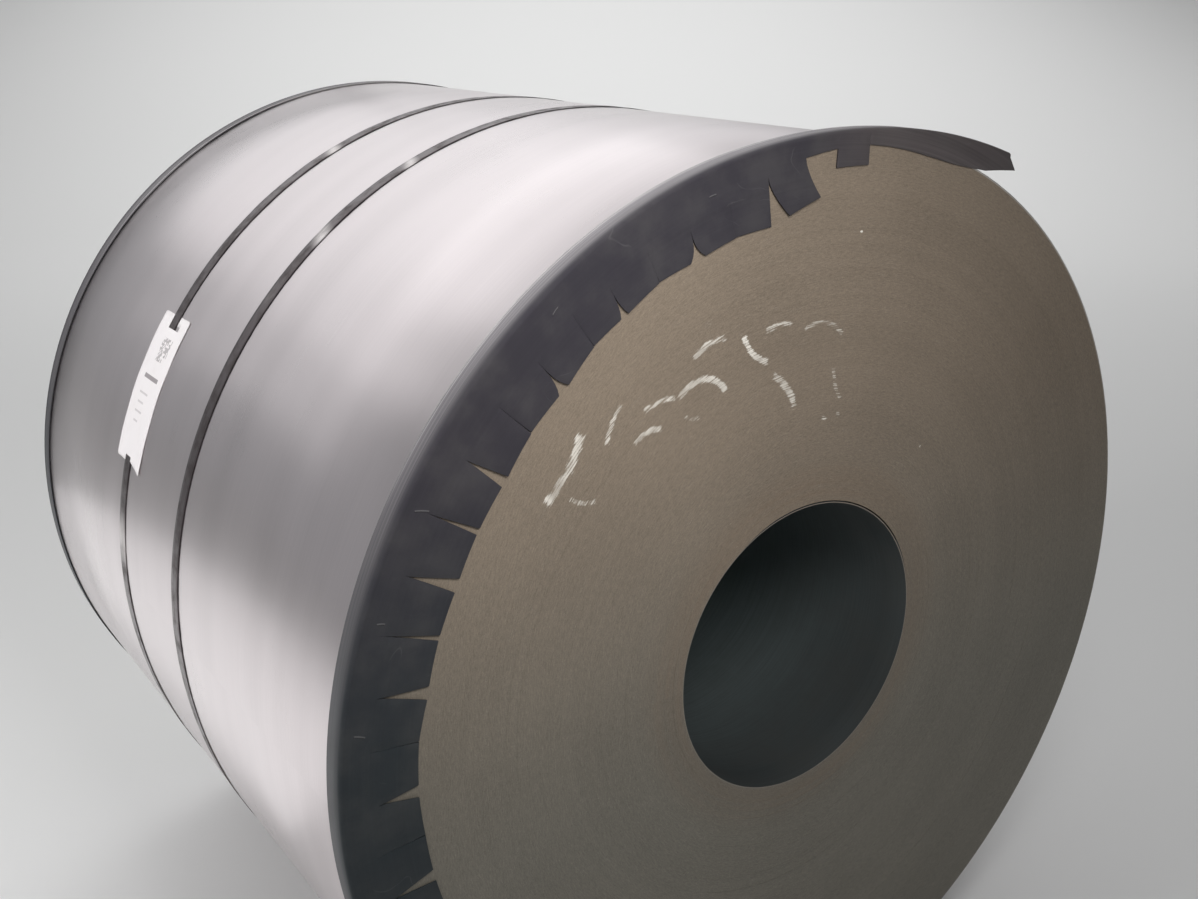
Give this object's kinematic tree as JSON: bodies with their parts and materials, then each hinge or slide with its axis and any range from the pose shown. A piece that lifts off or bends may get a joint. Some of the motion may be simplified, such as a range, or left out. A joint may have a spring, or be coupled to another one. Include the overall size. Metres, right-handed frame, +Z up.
{
  "type": "steel coil",
  "caption": "Strapped coil of wide steel sheet lying on its side, with an open bore, fingered plastic edge guards and a slotted tag on one strap.",
  "frame": {"origin": "on the bore axis, half-way along the bore", "axes": "+Y runs along the bore away from the end that carries the sprung guard, +Z is up, +X is to the right seen from that end"},
  "size_m": [1.6786, 1.5111, 1.6845],
  "materials": {
    "sheet_steel": "satin mill finish, matte on the ends",
    "strap_steel": "blackened strapping",
    "tag_card": "matt white card",
    "guard_plastic": "dull dark grey, scuffed"
  },
  "bodies": {
    "root": {"steel_coil": "sheet_steel", "strap_front": "strap_steel", "strap_rear": "strap_steel", "coil_tag": "tag_card", "edge_guard_front": "guard_plastic", "edge_guard_rear": "guard_plastic"}
  },
  "joints": []
}
